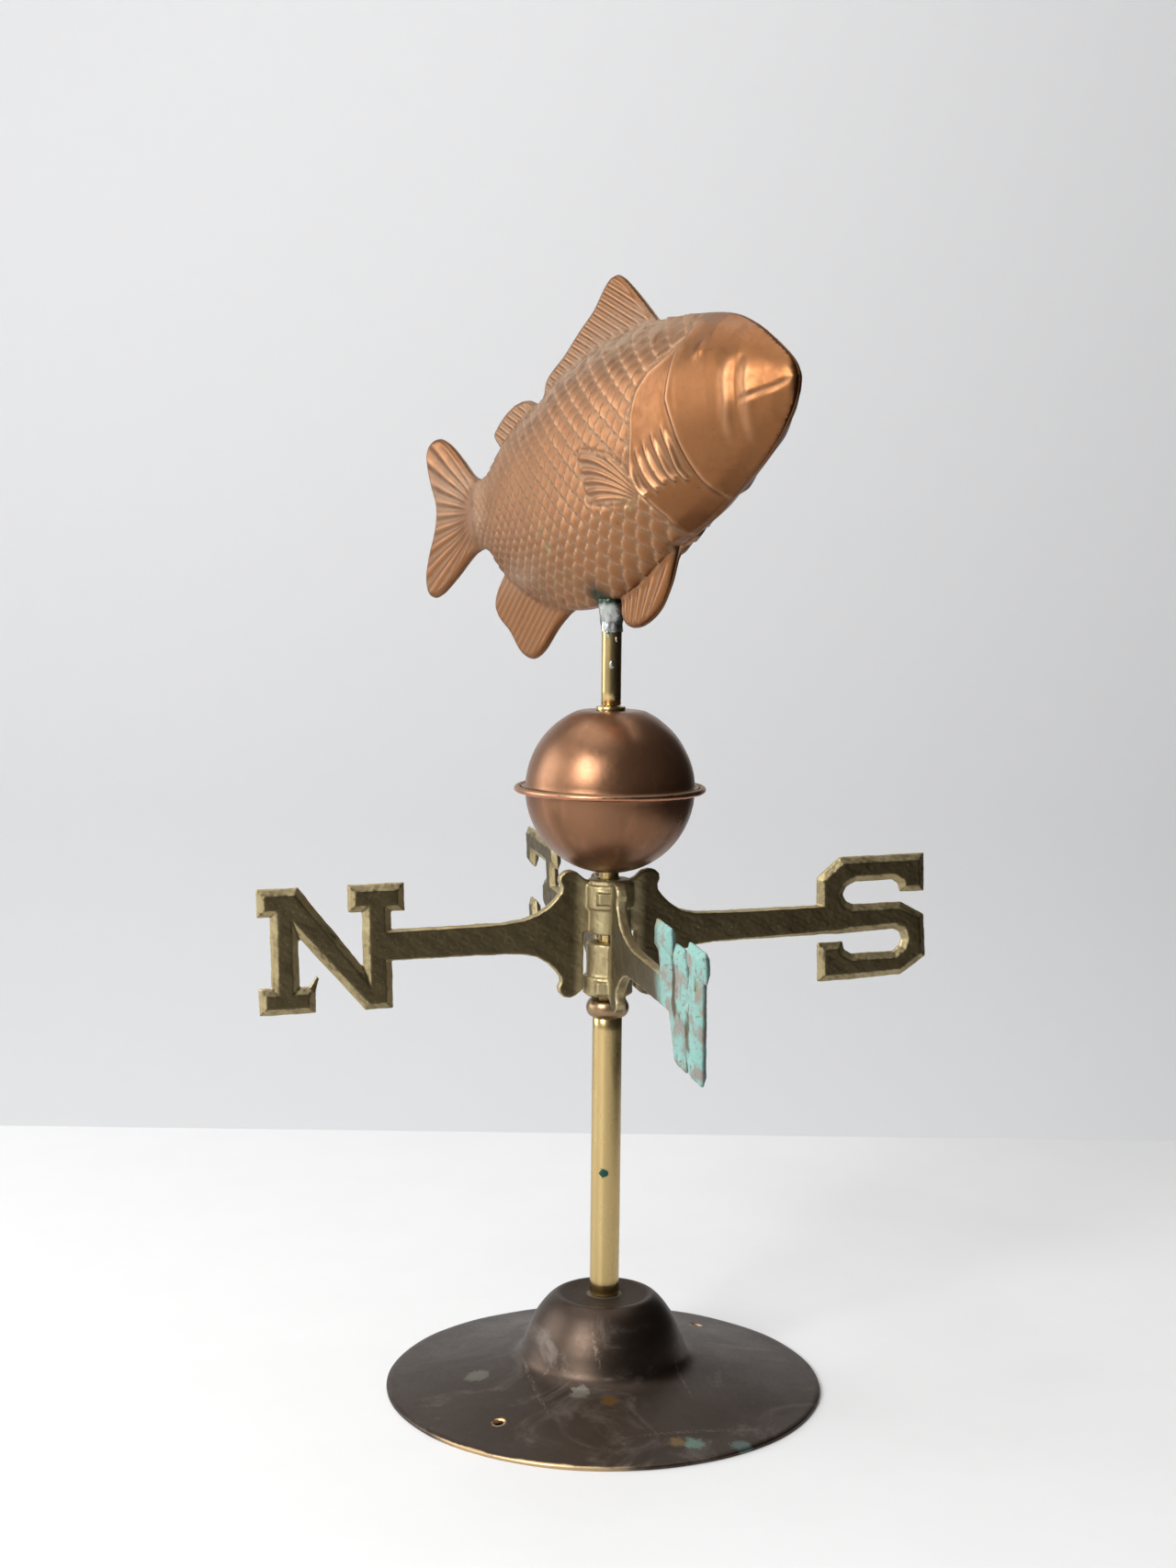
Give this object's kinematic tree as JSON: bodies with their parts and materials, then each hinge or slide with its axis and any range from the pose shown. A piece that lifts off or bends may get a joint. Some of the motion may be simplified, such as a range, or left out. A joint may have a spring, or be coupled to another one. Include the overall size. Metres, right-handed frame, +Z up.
{
  "type": "weather vane",
  "caption": "Table-top weather vane: a hollow copper fish turns on a brass spindle above a globe and cast compass letters, on a round spun foot.",
  "frame": {"origin": "centre of the foot's underside, on the spindle's axis", "axes": "+Z up the spindle, +Y towards the letter N, +X towards the letter E; the fish's nose points about west-south-west"},
  "size_m": [0.271, 0.2797, 0.4485],
  "materials": {
    "dark_bronze": "dark oxidised bronze, satin",
    "satin_brass": "aged satin brass",
    "bead_bronze": "darkened bronze, satin",
    "cast_brass": "sand-cast brass with olive patina",
    "globe_copper": "aged satin copper",
    "fish_copper": "stamped copper, satin with dusty patina",
    "steel": "plain steel",
    "solder": "bright tin solder"
  },
  "bodies": {
    "spindle": {"base_flange": "dark_bronze", "rod_washer": "steel", "rod_nut": "steel", "centre_rod": "satin_brass", "stem_tube": "satin_brass", "bead_collar": "bead_bronze", "globe_lower_half": "globe_copper", "globe_upper_half": "globe_copper", "globe_rim_bead": "globe_copper", "globe_spacer_sleeve": "satin_brass", "globe_top_bush": "satin_brass"},
    "directionals": {"east_west_casting": "cast_brass", "north_south_casting": "cast_brass", "set_screw_lower": "steel", "set_screw_upper": "steel"},
    "vane": {"vane_tube": "satin_brass", "tube_end_plug": "satin_brass", "pivot_ball": "steel", "solder_fillet": "solder", "fish_left_half": "fish_copper", "fish_right_half": "fish_copper"}
  },
  "joints": [
    {"name": "vane_spin", "type": "hinge", "parent": "spindle", "child": "vane", "pos_m": [0, 0, 0.3937], "axis": [0, 0, 1], "continuous": true},
    {"name": "directionals_turn", "type": "hinge", "parent": "spindle", "child": "directionals", "pos_m": [0, 0, 0.1863], "axis": [0, 0, 1], "continuous": true}
  ]
}
